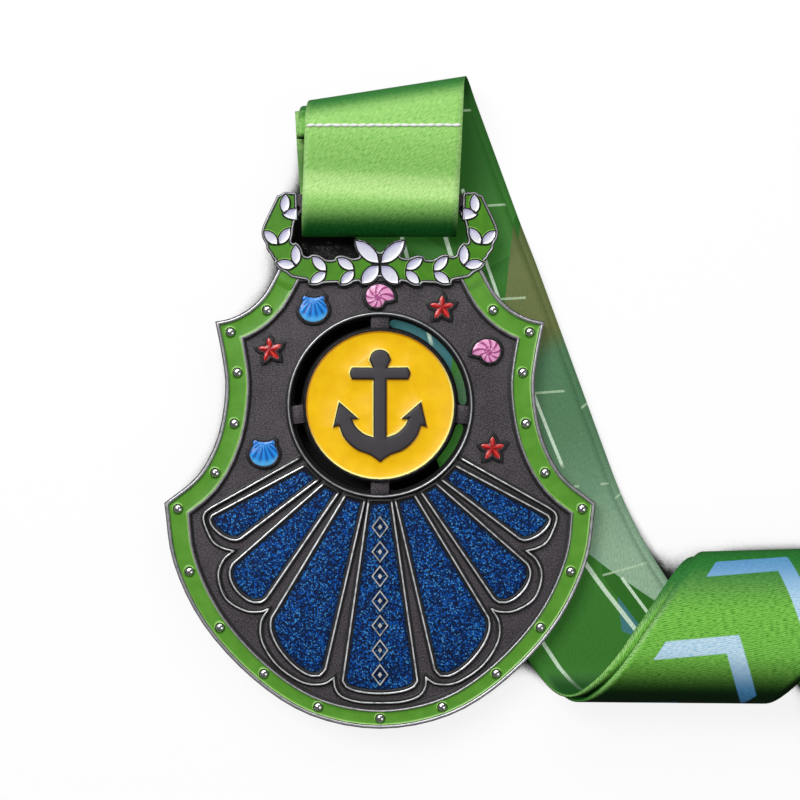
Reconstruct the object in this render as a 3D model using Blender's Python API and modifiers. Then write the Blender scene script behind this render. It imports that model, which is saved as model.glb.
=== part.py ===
"""Finisher medal: a die-cast shield with soft-enamel fills, hung on a sewn satin neck ribbon.

The medal lies on its back, face up. The origin is the middle of the centre disc on the flat back,
+X is to the viewer's right and +Y is towards the hanger. Outlines below are in millimetres.
"""

import math

import bmesh
import bpy
from mathutils import Matrix, Vector

MM = 0.001

# Heights of the casting above its flat back
PLATE_TOP = 3.4 * MM
FIELD_LEVEL = 2.6 * MM
POCKET_LEVEL = 2.2 * MM
ENAMEL_TOP = 3.1 * MM
CHANNEL_LEVEL = 1.6 * MM
WREATH_BACK = 0.5 * MM
WREATH_TOP = 3.7 * MM
WREATH_POCKET = 2.5 * MM
WREATH_ENAMEL_TOP = 3.4 * MM
ENAMEL_GAP = 0.1 * MM

# Right half of the shield, from the wreath down to the foot
SHOULDER = ((19.4, 25.6), (21.9, 21.1), (24.95, 18.1), (28.3, 16.4), (31.2, 15.8))
FLANK = ((31.2, 15.8), (29.8, 8.6), (29.3, 2.6), (30.7, -5.9), (34.45, -13.25), (40.85, -18.55))
BOWL = ((40.85, -18.55), (39.1, -29.9), (33.5, -41.5), (24.0, -51.9), (13.1, -58.8), (0.0, -61.3))
RIM_WIDTH = 0.7 * MM
LINE_WIDTH = 0.5 * MM
BORDER_SIDE = 4.6 * MM
BORDER_FOOT = 3.7 * MM
BORDER_START = 1.6 * MM

# Studs along the middle of the border
STUD_RADIUS = 1.0 * MM
SHOULDER_STUDS = (0.42,)
FLANK_STUDS = (0.0, 0.20, 0.45, 0.71)
BOWL_STUDS = (0.0, 0.2, 0.4, 0.6, 0.8)

# Centre disc, ring channel and its see-through slots
DISC_RADIUS = 14.5 * MM
DISC_RIM = 0.45 * MM
CHANNEL_WIDTH = 2.5 * MM
RING_RIM = 0.55 * MM
SLOT_WIDTH = 1.6 * MM
BRIDGE_WIDTH = 3.5 * MM
BRIDGE_ANGLES = (-6.6, 90.0, 186.6, 270.0)

# Right half of the anchor on the disc
ANCHOR = (
    (0.0, 10.4), (1.3, 9.9), (1.9, 8.6), (1.3, 7.3), (1.1, 7.0), (5.2, 7.0), (5.6, 6.0), (5.2, 5.0),
    (1.1, 5.0), (1.1, -6.3), (3.2, -5.5), (4.9, -3.9), (5.5, -2.6), (4.3, -2.5), (7.7, 0.4),
    (8.7, -4.0), (7.7, -3.7), (6.7, -6.1), (4.4, -8.3), (1.7, -9.4), (0.0, -10.6),
)

# Fan petals: angles from straight down at the ring and at the end, end radii and roundness of the end
PETALS = (
    ((-6.2, 6.2), (-7.5, 7.5), (52.6, 52.6), 3.0),
    ((9.8, 20.4), (11.9, 26.8), (51.0, 45.2), 5.0),
    ((26.0, 35.0), (30.7, 42.6), (42.3, 41.0), 3.9),
    ((40.2, 50.6), (46.5, 56.4), (36.5, 38.0), 2.2),
)
PETAL_LINE = 0.45 * MM
PETAL_START = 0.4 * MM

# Scalloped line round the fan, right half: its angle at the ring, then one curve for each petal
SCALLOP_START = 56.6
SCALLOPS = (
    ((31.9, -19.4), (33.2, -20.5), (33.3, -22.2), (31.8, -25.6), (29.9, -27.0), (27.7, -27.6)),
    ((27.7, -27.6), (29.7, -29.4), (30.6, -32.4), (29.2, -36.6), (25.6, -38.9), (22.6, -39.1), (21.0, -38.5)),
    ((21.0, -38.5), (22.5, -41.0), (22.3, -44.8), (19.4, -49.3), (14.6, -52.5), (10.8, -52.8), (8.7, -51.6)),
    ((8.7, -51.6), (8.5, -53.5), (7.2, -55.2), (4.0, -56.2), (0.0, -56.4)),
)
SCALLOP_LINE = 0.45 * MM

# Small sea ornaments: angles from straight down, distances of their middles from the ring, and turns
ORNAMENT_SIZE = 5.4 * MM
STARFISH_SIZE = 5.0 * MM
ORNAMENT_LINE = 0.4 * MM
SCALLOP_SHELLS = ((-145.3, 4.59, 0.0), (-67.5, 6.26, 0.0))
SNAILS = ((180.0, 3.05, 1.0), (116.9, 4.99, -1.0))
STARFISH = ((-116.6, 5.71, 8.0), (147.5, 4.25, 0.0), (68.7, 5.31, 0.0))

# Wreath hanger, right half: joints of the leaf pairs with the two tips of each pair, and the green
# cells between the pairs
WREATH_WIDTH = 4.3 * MM
WREATH_TIP = (17.4, 39.2)
FLOWER = ((0.0, 26.6), (4.45, 30.85), (3.3, 23.1))
LEAF_PAIRS = (
    ((4.7, 25.5), (8.05, 27.7), (7.38, 22.95)),
    ((9.99, 25.2), (12.8, 28.0), (13.13, 23.1)),
    ((15.8, 26.2), (15.96, 30.25), (19.5, 26.9)),
    ((19.2, 30.2), (17.0, 33.45), (21.87, 32.9)),
    ((18.1, 36.0), (15.75, 36.1), (17.8, 39.85)),
)
LEAF_WIDTH = 1.75 * MM
FLOWER_LEAF_WIDTH = 2.1 * MM
LEAF_LINE = 0.5 * MM
GREENS = (
    ((1.7, 26.6), (3.3, 25.4), (3.8, 24.6), (4.4, 27.1), (3.8, 27.3)),
    ((6.9, 25.3), (8.3, 23.8), (9.4, 23.7), (9.5, 26.5), (8.5, 26.8)),
    ((12.1, 25.3), (14.6, 24.3), (15.4, 24.8), (15.1, 26.5), (14.0, 27.5)),
    ((17.2, 28.2), (19.3, 27.9), (20.0, 28.7), (18.1, 30.2), (16.9, 30.0)),
    ((19.2, 32.6), (19.9, 35.1), (19.6, 35.6), (17.9, 35.2), (17.2, 34.6)),
    ((16.7, 37.4), (16.6, 38.1), (16.8, 39.1), (15.0, 37.3), (15.2, 36.8)),
)
SHOULDER_PLATE = (
    (18.4, 27.7), (20.15, 27.45), (20.9, 29.3), (22.25, 32.3), (22.15, 33.7), (21.2, 35.8), (20.0, 38.3),
    (19.3, 39.4), (18.3, 40.1), (15.75, 40.2), (15.75, 36.9), (17.0, 35.0), (18.3, 33.2), (18.7, 30.6),
)
BAR_Y = 38.1 * MM
BAR_Z = 2.6 * MM
BAR_HEIGHT = 3.6 * MM
BAR_THICK = 2.0 * MM
BAR_HALF_LENGTH = 16.6 * MM

# Ribbon: one strip, both ends sewn together above the hanger
RIBBON_WIDTH = 30.0 * MM
RIBBON_THICK = 0.6 * MM
LAYER_STEP = 0.9 * MM
LAYER_SHIFT = -1.5 * MM
RIBBON_LEAN = -2.5
BEND_STEP = 20.0
TABLE_Z = -3.6 * MM

# Its way from the sewn tail, round the bar, over the top fold, through a roll and into a stack
TAIL_END = 6.0 * MM
TAIL_RUN = 6.0 * MM
TAIL_RADIUS = 8.0 * MM
TAIL_TILT = 15.0
LOOP_FLAT = 4.0 * MM
LOOP_RADIUS = 2.8 * MM
LOOP_DROP = 5.8 * MM
FRONT_TILT = 12.0
FRONT_RADIUS = 8.0 * MM
FRONT_RUN = 9.0 * MM
STITCH_TO_FOLD = 3.0 * MM
FOLD_SKEW = 11.0
BACK_RUN = 74.5 * MM
STEER = 11.0
STEER_RUN = 24.0 * MM
STEER_STEP = 4.0
ROLL_START = 15.0 * MM
ROLL_TIGHT = 6.0 * MM
ROLL_WIDE = 11.0 * MM
ROLL_SKEWS = (34.0, 42.0)
ROLL_TOP_RUN = 11.0 * MM
EXIT_RUN = 64.0 * MM
STACK_RUN = 40.0 * MM
STACK_RADIUS = 1.6 * MM
STACK_FOLDS = 4

# Seam thread across the front layer
STITCH_PITCH = 1.7 * MM
THREAD_RADIUS = 0.2 * MM
THREAD_GAP = 0.1 * MM

# Colours as linear red, green and blue, with roughness and metallic value
FINISHES = {
    "metal": ((0.07, 0.065, 0.068), 0.38, 1.0),
    "green": ((0.08, 0.30, 0.02), 0.2, 0.0),
    "navy": ((0.01, 0.04, 0.16), 0.2, 0.0),
    "yellow": ((0.90, 0.53, 0.01), 0.25, 0.0),
    "blue": ((0.02, 0.25, 0.70), 0.2, 0.0),
    "pink": ((0.75, 0.28, 0.48), 0.2, 0.0),
    "red": ((0.50, 0.015, 0.015), 0.2, 0.0),
    "white": ((0.80, 0.79, 0.85), 0.25, 0.0),
    "satin": ((0.18, 0.48, 0.08), 0.45, 0.0),
    "thread": ((0.85, 0.85, 0.85), 0.7, 0.0),
}


def clear_scene():
    for item in list(bpy.data.objects):
        bpy.data.objects.remove(item, do_unlink=True)


def new_collection(name):
    group = bpy.data.collections.new(name)
    bpy.context.scene.collection.children.link(group)
    return group


def material(name, finish):
    colour, roughness, metallic = FINISHES[finish]
    made = bpy.data.materials.new(name)
    made.use_nodes = True
    shader = made.node_tree.nodes["Principled BSDF"]
    shader.inputs["Base Color"].default_value = (*colour, 1.0)
    shader.inputs["Roughness"].default_value = roughness
    shader.inputs["Metallic"].default_value = metallic
    return made


def flat(points):
    """Millimetre pairs as 2D points in metres."""
    return [Vector(point) * MM for point in points]


def polar(angle, radius):
    """A point at an angle from straight down, positive towards +X."""
    turn = math.radians(angle)
    return Vector((math.sin(turn), -math.cos(turn))) * radius


def smooth(points, steps, after=None):
    """A smooth path through the points, with an unseen point that sets how it arrives."""
    ends = [points[0] * 2 - points[1], *points, after or points[-1] * 2 - points[-2]]
    path = []
    for a, b, c, d in zip(ends, ends[1:], ends[2:], ends[3:]):
        for step in range(steps):
            t = step / steps
            square, cube = a * 2 - b * 5 + c * 4 - d, b * 3 - a - c * 3 + d
            path.append((b * 2 + (c - a) * t + square * t**2 + cube * t**3) / 2)
    return [*path, points[-1].copy()]


def rounded_end(start, end, outward, roundness, steps):
    """A bulging curve from start to end, without its first point."""
    path = []
    for step in range(1, steps + 1):
        t = step / steps
        path.append(start.lerp(end, t * t * (3 - 2 * t)) + outward * (3 * roundness * t * (1 - t)))
    return path


def mirrored(path):
    return [Vector((-point.x, point.y)) for point in reversed(path)]


def whole(half):
    """A path that ends on the middle line, with its mirror image."""
    half = [*half[:-1], Vector((0.0, half[-1].y))]
    return half + mirrored(half)[1:]


def length_of(path):
    return sum((b - a).length for a, b in zip(path, path[1:]))


def point_along(path, share):
    left = share * length_of(path)
    for a, b in zip(path, path[1:]):
        step = (b - a).length
        if left <= step:
            return a.lerp(b, left / step)
        left -= step
    return path[-1].copy()


def tail_of(path, distance):
    """The path without its first stretch."""
    share = distance / length_of(path)
    gone = 0.0
    kept = [point_along(path, share)]
    for a, b in zip(path, path[1:]):
        gone += (b - a).length
        if gone > distance:
            kept.append(b)
    return kept


def border_width(y):
    """The border narrows from the spikes to the foot."""
    spike, foot = BOWL[0][1] * MM, BOWL[-1][1] * MM
    share = min(max((spike - y) / (spike - foot), 0.0), 1.0)
    return BORDER_SIDE + (BORDER_FOOT - BORDER_SIDE) * share


def inward(path, width):
    """The path moved into the shield by a width that depends on the height."""
    moved = []
    for before, point, after in zip([path[0], *path], path, [*path[1:], path[-1]]):
        along = (after - before).normalized()
        moved.append(point + Vector((along.y, -along.x)) * width(point.y))
    return moved


def meet(first, second):
    """Two paths cut where they cross, as one path."""
    for i in reversed(range(len(first) - 1)):
        for j in range(len(second) - 1):
            p, r = first[i], first[i + 1] - first[i]
            q, s = second[j], second[j + 1] - second[j]
            cross = r.cross(s)
            if cross:
                t, u = (q - p).cross(s) / cross, (q - p).cross(r) / cross
                if 0 <= t <= 1 and 0 <= u <= 1:
                    return [*first[: i + 1], p + r * t, *second[j + 1 :]]
    return [*first, *second[1:]]


def shield_parts():
    foot = flat(BOWL)
    return (
        smooth(flat(SHOULDER), 2),
        smooth(flat(FLANK), 3),
        smooth(foot, 4, after=Vector((-foot[-2].x, foot[-2].y))),
    )


def shield_half(width):
    """The right half of the shield's outline, moved inward."""
    shoulder, flank, bowl = (inward(path, width) for path in shield_parts())
    return meet(meet(shoulder, flank), bowl)


def border_loop(outer, inner):
    """The band between two inward shifts, open at the wreath."""
    sides = [whole(tail_of(shield_half(width), BORDER_START)) for width in (outer, inner)]
    return sides[0] + sides[1][::-1]


def stud_places():
    def middle(y):
        return (border_width(y) + RIM_WIDTH - LINE_WIDTH) / 2

    shoulder, flank, bowl = (inward(path, middle) for path in shield_parts())
    flank = meet(shoulder, flank)[len(shoulder) - 1 :]
    bowl = meet(flank, bowl)[len(flank) - 1 :]
    right = [point_along(shoulder, share) for share in SHOULDER_STUDS]
    right += [point_along(flank, share) for share in FLANK_STUDS]
    right += [point_along(bowl, share) for share in BOWL_STUDS]
    return right + mirrored(right) + [Vector((0.0, bowl[-1].y))]


def grown(loop, distance, blunt=False):
    """A closed outline moved outward, or inward where the distance is negative. Blunt rounds its points."""
    area = sum(a.cross(b) for a, b in zip(loop, loop[1:] + loop[:1]))
    side = math.copysign(distance, distance * area)
    moved = []
    for a, b, c in zip(loop[-1:] + loop[:-1], loop, loop[1:] + loop[:1]):
        first, second = (b - a).normalized(), (c - b).normalized()
        ways = [Vector((way.y, -way.x)) * side for way in (first, second)]
        if blunt and first.dot(second) < 0.3:
            moved += [b + ways[0], b + (ways[0] + ways[1]).normalized() * distance, b + ways[1]]
        else:
            moved.append(b + (ways[0] + ways[1]) / max(1 + first.dot(second), 0.6))
    return moved


def band(path, width):
    """A closed outline round an open path."""
    sides = []
    for side in (-0.5, 0.5):
        moved = []
        for before, point, after in zip([path[0], *path], path, [*path[1:], path[-1]]):
            first = (point - before).normalized() if point != before else (after - point).normalized()
            second = (after - point).normalized() if point != after else first
            normals = Vector((first.y, -first.x)) + Vector((second.y, -second.x))
            moved.append(point + normals * side * width / max(1 + first.dot(second), 0.5))
        sides.append(moved)
    return sides[0] + sides[1][::-1]


def circle(centre, radius, points):
    return [centre + polar(360.0 * step / points, radius) for step in range(points)]


def arc_slot(radius, start, end, width, points):
    """A slot along an arc, with round ends, in degrees from straight down."""
    half = width / 2
    outer = [polar(start + (end - start) * step / points, radius + half) for step in range(points + 1)]
    inner = [polar(end + (start - end) * step / points, radius - half) for step in range(points + 1)]
    caps = []
    for angle, way in ((end, 1), (start, -1)):
        middle = polar(angle, radius)
        along, out = polar(angle + 90.0, half) * way, polar(angle, half) * way
        turns = (math.pi / 3, 2 * math.pi / 3)
        caps.append([middle + along * math.sin(t) + out * math.cos(t) for t in turns])
    return outer + caps[0] + inner + caps[1]


def ring_edge():
    """Radius of the raised line round the ring channel."""
    return DISC_RADIUS + CHANNEL_WIDTH + RING_RIM


def petal_loop(petal):
    at_ring, at_end, radii, roundness = petal
    start = ring_edge() + PETAL_LINE + PETAL_START
    first, last = polar(at_end[0], radii[0] * MM), polar(at_end[1], radii[1] * MM)
    outward = polar(sum(at_end) / 2, 1.0)
    end = rounded_end(first, last, outward, roundness * MM, 8)
    return [polar(at_ring[1], start), polar(at_ring[0], start), first, *end]


def petal_loops():
    """Seven petals from left to right."""
    right = [petal_loop(petal) for petal in PETALS]
    return [mirrored(loop) for loop in reversed(right[1:])] + right


def scallop_path():
    half = [polar(SCALLOP_START, ring_edge() + PETAL_START)]
    for points in SCALLOPS:
        half += smooth(flat(points), 2)[:-1]
    return whole([*half, flat(SCALLOPS[-1])[-1]])


def scallop_shell_loop(angle, distance, turn):
    """A fan with two ears at its hinge."""
    ear = ((0.0, 0.38), (0.17, 0.40), (0.32, 0.46), (0.38, 0.40), (0.36, 0.26))
    edge = ((0.46, 0.10), (0.49, -0.06), (0.43, -0.23), (0.31, -0.36), (0.16, -0.43), (0.0, -0.45))
    right = [Vector(point) * ORNAMENT_SIZE for point in ear + edge]
    return placed(whole(right)[:-1], angle, distance, turn)


def snail_loop(angle, distance, way):
    """A round whorl that widens to a mouth on one side."""
    foot = ((0.06, -0.33), (-0.12, -0.39), (-0.32, -0.33), (-0.45, -0.17))
    whorl = ((-0.49, 0.03), (-0.43, 0.22), (-0.29, 0.35), (-0.09, 0.41), (0.14, 0.38))
    mouth = ((0.34, 0.26), (0.46, 0.08), (0.48, -0.1), (0.33, -0.14), (0.16, -0.16))
    loop = [Vector((across * way, up)) * ORNAMENT_SIZE for across, up in foot + whorl + mouth]
    return placed(loop, angle, distance, 0.0)


def starfish_loop(angle, distance, turn):
    loop = []
    for step in range(20):
        reach = (0.46, 0.37, 0.20, 0.37)[step % 4]
        spread = (0.0, -6.5, 0.0, 6.5)[step % 4]
        loop.append(polar(180.0 + 18.0 * step + spread, reach * STARFISH_SIZE))
    return placed(loop, angle, distance, turn)


def placed(loop, angle, distance, turn):
    spin = Matrix.Rotation(math.radians(turn), 2)
    middle = polar(angle, ring_edge() + distance * MM)
    return [spin @ point + middle for point in loop]


def leaf_loop(base, tip, width):
    """A lens between two points."""
    side = (tip - base).orthogonal().normalized() * width / 2
    bulges = ((0.22, 0.78), (0.5, 1.0), (0.78, 0.72))
    rising = [base.lerp(tip, share) + side * bulge for share, bulge in bulges]
    falling = [base.lerp(tip, share) - side * bulge for share, bulge in reversed(bulges)]
    return [base, *rising, tip, *falling]


def object_from(name, mesh, group):
    made = bpy.data.objects.new(name, mesh)
    group.objects.link(made)
    return made


def prism(name, loops, low, high, group, finish=None):
    """A flat outline, with holes where loops lie inside each other, given its thickness."""
    curve = bpy.data.curves.new(name, "CURVE")
    curve.dimensions = "2D"
    curve.fill_mode = "BOTH"
    curve.extrude = (high - low) / 2
    for loop in loops:
        spline = curve.splines.new("POLY")
        spline.points.add(len(loop) - 1)
        for point, place in zip(spline.points, loop):
            point.co = (place.x, place.y, 0.0, 1.0)
        spline.use_cyclic_u = True
    outline = object_from(name + "_outline", curve, group)
    outline.location.z = (low + high) / 2
    bpy.context.view_layer.update()
    mesh = bpy.data.meshes.new_from_object(outline.evaluated_get(bpy.context.evaluated_depsgraph_get()))
    made = object_from(name, weld(mesh), group)
    made.matrix_world = outline.matrix_world
    bpy.data.objects.remove(outline, do_unlink=True)
    if finish:
        mesh.materials.clear()
        mesh.materials.append(material(name, finish))
    else:
        made.hide_render = True
        made.display_type = "WIRE"
    return made


def weld(mesh):
    shape = bmesh.new()
    shape.from_mesh(mesh)
    bmesh.ops.remove_doubles(shape, verts=shape.verts, dist=0.00001)
    shape.to_mesh(mesh)
    shape.free()
    return mesh


def combine(target, operation, group):
    """A Boolean with every solid of a collection."""
    modifier = target.modifiers.new(group.name, "BOOLEAN")
    modifier.operation = operation
    modifier.operand_type = "COLLECTION"
    modifier.collection = group
    modifier.solver = "EXACT"


def box(name, size, centre, group):
    shape = bmesh.new()
    bmesh.ops.create_cube(shape, size=1.0, matrix=Matrix.Diagonal((*size, 1.0)))
    mesh = bpy.data.meshes.new(name)
    shape.to_mesh(mesh)
    shape.free()
    made = object_from(name, mesh, group)
    made.location = centre
    made.hide_render = True
    made.display_type = "WIRE"
    return made


def add_studs(group):
    for index, place in enumerate(stud_places(), start=1):
        shape = bmesh.new()
        bmesh.ops.create_uvsphere(shape, u_segments=8, v_segments=6, radius=STUD_RADIUS)
        mesh = bpy.data.meshes.new(f"stud_{index}")
        shape.to_mesh(mesh)
        shape.free()
        made = object_from(f"stud_{index}", mesh, group)
        made.location = (*place, FIELD_LEVEL)
        made.hide_render = True
        made.display_type = "WIRE"


class Medal:
    """The casting and its fills: each pool cuts a pocket and fills it."""

    def __init__(self, parts):
        self.parts = parts
        self.sunk = new_collection("field_cutter")
        self.lines = new_collection("line_metal")
        self.wreath = new_collection("wreath_metal")
        self.pockets = new_collection("pocket_cutters")
        self.holes = new_collection("slot_cutters")
        self.studs = new_collection("stud_metal")

    def pool(self, name, loops, finish, line=None, floor=POCKET_LEVEL, top=ENAMEL_TOP):
        """A pocket in the casting with its enamel, and a raised line round it in the field."""
        outer, *islands = loops
        prism(name + "_pocket", loops, floor, WREATH_TOP * 2, self.pockets)
        fill = [grown(outer, -ENAMEL_GAP), *(grown(island, ENAMEL_GAP) for island in islands)]
        prism(name, fill, floor + ENAMEL_GAP, top, self.parts, finish)
        if line:
            self.line(name, grown(outer, line))

    def line(self, name, loop):
        """Metal up to the top of the casting, which the pocket inside it leaves as a raised line."""
        prism(name + "_line", [loop], FIELD_LEVEL / 2, PLATE_TOP, self.lines)

    def wreath_pool(self, name, loop, finish):
        self.pool(name, [loop], finish, floor=WREATH_POCKET, top=WREATH_ENAMEL_TOP)

    def border(self):
        def outer(y):
            return RIM_WIDTH

        def inner(y):
            return border_width(y) - LINE_WIDTH

        name = "border_enamel"
        prism(name + "_pocket", [border_loop(outer, inner)], POCKET_LEVEL, WREATH_TOP * 2, self.pockets)
        fill = border_loop(lambda y: outer(y) + ENAMEL_GAP, lambda y: inner(y) - ENAMEL_GAP)
        studs = [circle(place, STUD_RADIUS + ENAMEL_GAP, 8) for place in stud_places()]
        prism(name, [fill, *studs], POCKET_LEVEL + ENAMEL_GAP, ENAMEL_TOP, self.parts, "green")
        add_studs(self.studs)

    def fan(self):
        for index, loop in enumerate(petal_loops(), start=1):
            self.pool(f"petal_enamel_{index}", [loop], "navy", PETAL_LINE)
        self.line("scallop", band(scallop_path(), SCALLOP_LINE))

    def disc(self):
        middle = Vector((0.0, 0.0))
        channel = DISC_RADIUS + CHANNEL_WIDTH
        self.line("ring", circle(middle, ring_edge(), 64))
        emblem = whole(flat(ANCHOR))[:-1]
        self.pool("disc_enamel", [circle(middle, DISC_RADIUS - DISC_RIM, 48), emblem], "yellow")
        rings = [circle(middle, channel, 64), circle(middle, DISC_RADIUS, 56)]
        prism("ring_channel", rings, CHANNEL_LEVEL, WREATH_TOP * 2, self.holes)
        radius = DISC_RADIUS + CHANNEL_WIDTH / 2
        clear = math.degrees((BRIDGE_WIDTH + SLOT_WIDTH) / 2 / radius)
        stops = [angle + 90.0 for angle in BRIDGE_ANGLES]
        for index, (start, end) in enumerate(zip(stops, [*stops[1:], stops[0] + 360.0]), start=1):
            slot = arc_slot(radius, start + clear, end - clear, SLOT_WIDTH, 12)
            prism(f"ring_slot_{index}", [slot], -PLATE_TOP, WREATH_TOP * 2, self.holes)

    def ornaments(self):
        kinds = (
            ("scallop_enamel", scallop_shell_loop, SCALLOP_SHELLS, "blue"),
            ("snail_enamel", snail_loop, SNAILS, "pink"),
            ("starfish_enamel", starfish_loop, STARFISH, "red"),
        )
        for name, outline, places, finish in kinds:
            for index, place in enumerate(places, start=1):
                self.pool(f"{name}_{index}", [outline(*place)], finish, ORNAMENT_LINE)

    def leaf(self, name, base, tip, width):
        for side, flip in (("right", 1), ("left", -1)):
            ends = [Vector((point.x * flip, point.y)) for point in (base, tip)]
            loop = leaf_loop(*ends, width)
            outline = grown(loop, LEAF_LINE, blunt=True)
            prism(f"{name}_{side}_metal", [outline], WREATH_BACK, WREATH_TOP, self.wreath)
            self.wreath_pool(f"{name}_{side}", loop, "white")

    def hanger(self):
        joints = [flat(pair)[0] for pair in LEAF_PAIRS]
        path = [Vector(WREATH_TIP) * MM, *joints[::-1], flat(FLOWER)[0]]
        prism("wreath_band", [band(whole(path), WREATH_WIDTH)], WREATH_BACK, WREATH_TOP, self.wreath)
        for side, outline in (("right", flat(SHOULDER_PLATE)), ("left", mirrored(flat(SHOULDER_PLATE)))):
            prism(f"wreath_shoulder_{side}", [outline], WREATH_BACK, WREATH_TOP, self.wreath)
        size = (BAR_HALF_LENGTH * 2, BAR_HEIGHT, BAR_THICK)
        box("ribbon_bar", size, (0.0, BAR_Y, BAR_Z), self.wreath)
        gap = LEAF_LINE * 0.6
        for index, pair in enumerate(LEAF_PAIRS, start=1):
            base, first, second = flat(pair)
            for letter, tip in (("a", first), ("b", second)):
                root = base + (tip - base).normalized() * gap
                self.leaf(f"leaf_enamel_{index}{letter}", root, tip, LEAF_WIDTH)
        centre, *tips = flat(FLOWER)
        for letter, tip in zip("ab", tips):
            root = centre + (tip - centre).normalized() * gap * 2
            self.leaf(f"flower_enamel_{letter}", root, tip, FLOWER_LEAF_WIDTH)
        for index, loop in enumerate(map(flat, GREENS), start=1):
            for side, outline in (("right", loop), ("left", mirrored(loop))):
                self.wreath_pool(f"wreath_enamel_{index}_{side}", outline, "green")

    def plate(self):
        shield = whole(shield_half(lambda y: 0.0))
        casting = prism("medal_plate", [shield], 0.0, PLATE_TOP, self.parts, "metal")
        field = whole(shield_half(border_width))
        prism("field", [field], FIELD_LEVEL, WREATH_TOP * 2, self.sunk)
        combine(casting, "DIFFERENCE", self.sunk)
        combine(casting, "UNION", self.lines)
        combine(casting, "UNION", self.wreath)
        combine(casting, "DIFFERENCE", self.pockets)
        combine(casting, "DIFFERENCE", self.holes)
        combine(casting, "UNION", self.studs)


class Strip:
    """A strip that is walked along: straight runs, and bends about lines across it."""

    def __init__(self, along):
        self.place = Vector((0.0, 0.0, 0.0))
        self.along = along
        self.across = Vector((1.0, 0.0, 0.0))
        self.lines = []

    def inside(self):
        return self.along.cross(self.across)

    def mark(self, skew=0.0):
        """Notes the line across the strip here, as its middle, half width and inner side."""
        turn = math.radians(skew)
        line = self.across * math.cos(turn) + self.along * math.sin(turn)
        self.lines.append((self.place.copy(), line / math.cos(turn), self.inside()))
        return line

    def run(self, length):
        self.place += self.along * length

    def steer(self, angle, length):
        """Turns in the plane of the cloth, as a woven strip gives a little."""
        steps = math.ceil(abs(angle) / STEER_STEP)
        turn = Matrix.Rotation(math.radians(angle / steps), 3, self.inside())
        for _ in range(steps):
            self.run(length / steps / 2)
            self.along, self.across = turn @ self.along, turn @ self.across
            self.mark()
            self.run(length / steps / 2)

    def bend(self, angle, radius, skew=0.0):
        """Turns towards the inside, or away where the angle is negative."""
        steps = math.ceil(abs(angle) / BEND_STEP)
        step = angle / steps
        chord = 2 * radius * math.tan(math.radians(abs(step)) / 2) / math.cos(math.radians(skew))
        for _ in range(steps):
            self.run(chord / 2)
            turn = math.radians(skew)
            line = self.across * math.cos(turn) + self.along * math.sin(turn)
            half = Matrix.Rotation(math.radians(-step / 2), 3, line)
            self.along, self.across = half @ self.along, half @ self.across
            self.mark(skew)
            self.along, self.across = half @ self.along, half @ self.across
            self.run(chord / 2)


def walk_ribbon():
    """The outer layer from its sewn tail, round the hanger bar and out to the middle of the neck loop."""
    tilt = math.radians(FRONT_TILT)
    strip = Strip(Vector((0.0, -math.cos(tilt), -math.sin(tilt))))
    strip.mark()
    strip.run(TAIL_END)
    strip.bend(-TAIL_TILT, TAIL_RADIUS)
    strip.run(TAIL_RUN)
    strip.bend(TAIL_TILT + FRONT_TILT, TAIL_RADIUS)
    strip.run(LOOP_FLAT)
    loop = strip.place.copy()
    strip.bend(180.0, LOOP_RADIUS)
    strip.run(LOOP_FLAT)
    strip.bend(-FRONT_TILT, FRONT_RADIUS)
    strip.run(FRONT_RUN)
    strip.bend(FRONT_TILT, FRONT_RADIUS)
    strip.mark()
    stitch = len(strip.lines) - 1
    strip.run(STITCH_TO_FOLD)
    start = Vector((0.0, BAR_Y - LOOP_DROP + LOOP_RADIUS, BAR_Z - LOOP_RADIUS))
    top = strip.place.z - loop.z + start.z
    strip.bend(180.0, (top - TABLE_Z - RIBBON_THICK / 2) / 2, FOLD_SKEW)
    strip.run(BACK_RUN)
    strip.steer(STEER, STEER_RUN)
    strip.run(ROLL_START)
    for skew, radii in zip(ROLL_SKEWS, ((ROLL_TIGHT, ROLL_WIDE), (ROLL_WIDE, ROLL_TIGHT))):
        for radius in radii:
            strip.bend(110.0 if radius == ROLL_TIGHT else 70.0, radius, skew)
        strip.run(ROLL_TOP_RUN if skew == ROLL_SKEWS[0] else EXIT_RUN)
    for fold in range(STACK_FOLDS):
        strip.bend(180.0 if fold % 2 == 0 else -180.0, STACK_RADIUS)
        strip.run(STACK_RUN)
    strip.mark()
    return strip.lines, stitch, start - loop


def ribbon_lines():
    """The whole strip: the outer layer, the turn at its end, and the inner layer back to the seam."""
    lines, stitch, move = walk_ribbon()
    middle, line, inside = lines[-1]
    turn = []
    for angle in (60.0, 120.0):
        spin = Matrix.Rotation(math.radians(-angle), 3, line.normalized())
        centre = middle + inside * LAYER_STEP / 2
        turn.append((centre - spin @ (inside * LAYER_STEP / 2), line, spin @ inside))
    back = []
    for middle, line, inside in reversed(lines[stitch - 1 :]):
        back.append((middle + inside * LAYER_STEP + line * LAYER_SHIFT, line, -inside))
    lean = Matrix.Rotation(math.radians(RIBBON_LEAN), 3, "Z")
    pivot = Vector((0.0, BAR_Y, 0.0))
    leaned = []
    for middle, line, inside in lines + turn + back:
        leaned.append((lean @ (middle + move - pivot) + pivot, lean @ line, lean @ inside))
    return leaned, stitch


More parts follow.
